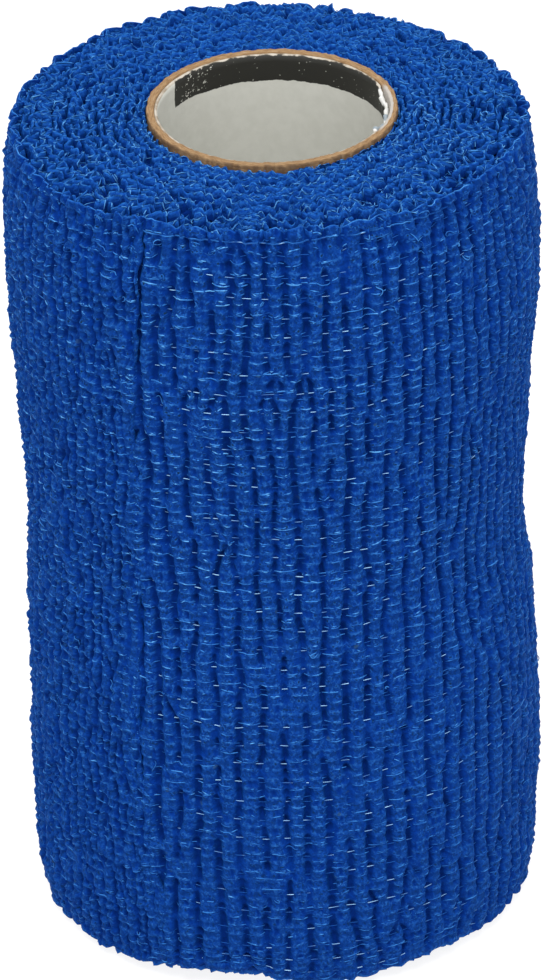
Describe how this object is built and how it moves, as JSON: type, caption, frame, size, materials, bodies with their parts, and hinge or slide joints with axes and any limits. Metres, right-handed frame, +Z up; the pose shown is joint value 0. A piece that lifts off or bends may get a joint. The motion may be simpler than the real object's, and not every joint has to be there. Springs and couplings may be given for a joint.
{
  "type": "cohesive bandage roll",
  "caption": "Cohesive crepe bandage wound on an open paperboard core, standing on end, for wrapping and holding dressings.",
  "frame": {"origin": "centre of the end that the roll stands on", "axes": "+Z up along the roll's axis; -Y towards the front, with the loose end of the wrap to the left of the front; +X to the right"},
  "size_m": [0.0603, 0.0599, 0.1],
  "materials": {
    "crepe_blue": "matte",
    "kraft_board": "matte",
    "white_paper": "satin"
  },
  "bodies": {
    "root": {"bandage_roll": "crepe_blue", "core_tube": "kraft_board", "core_liner": "white_paper"}
  },
  "joints": []
}
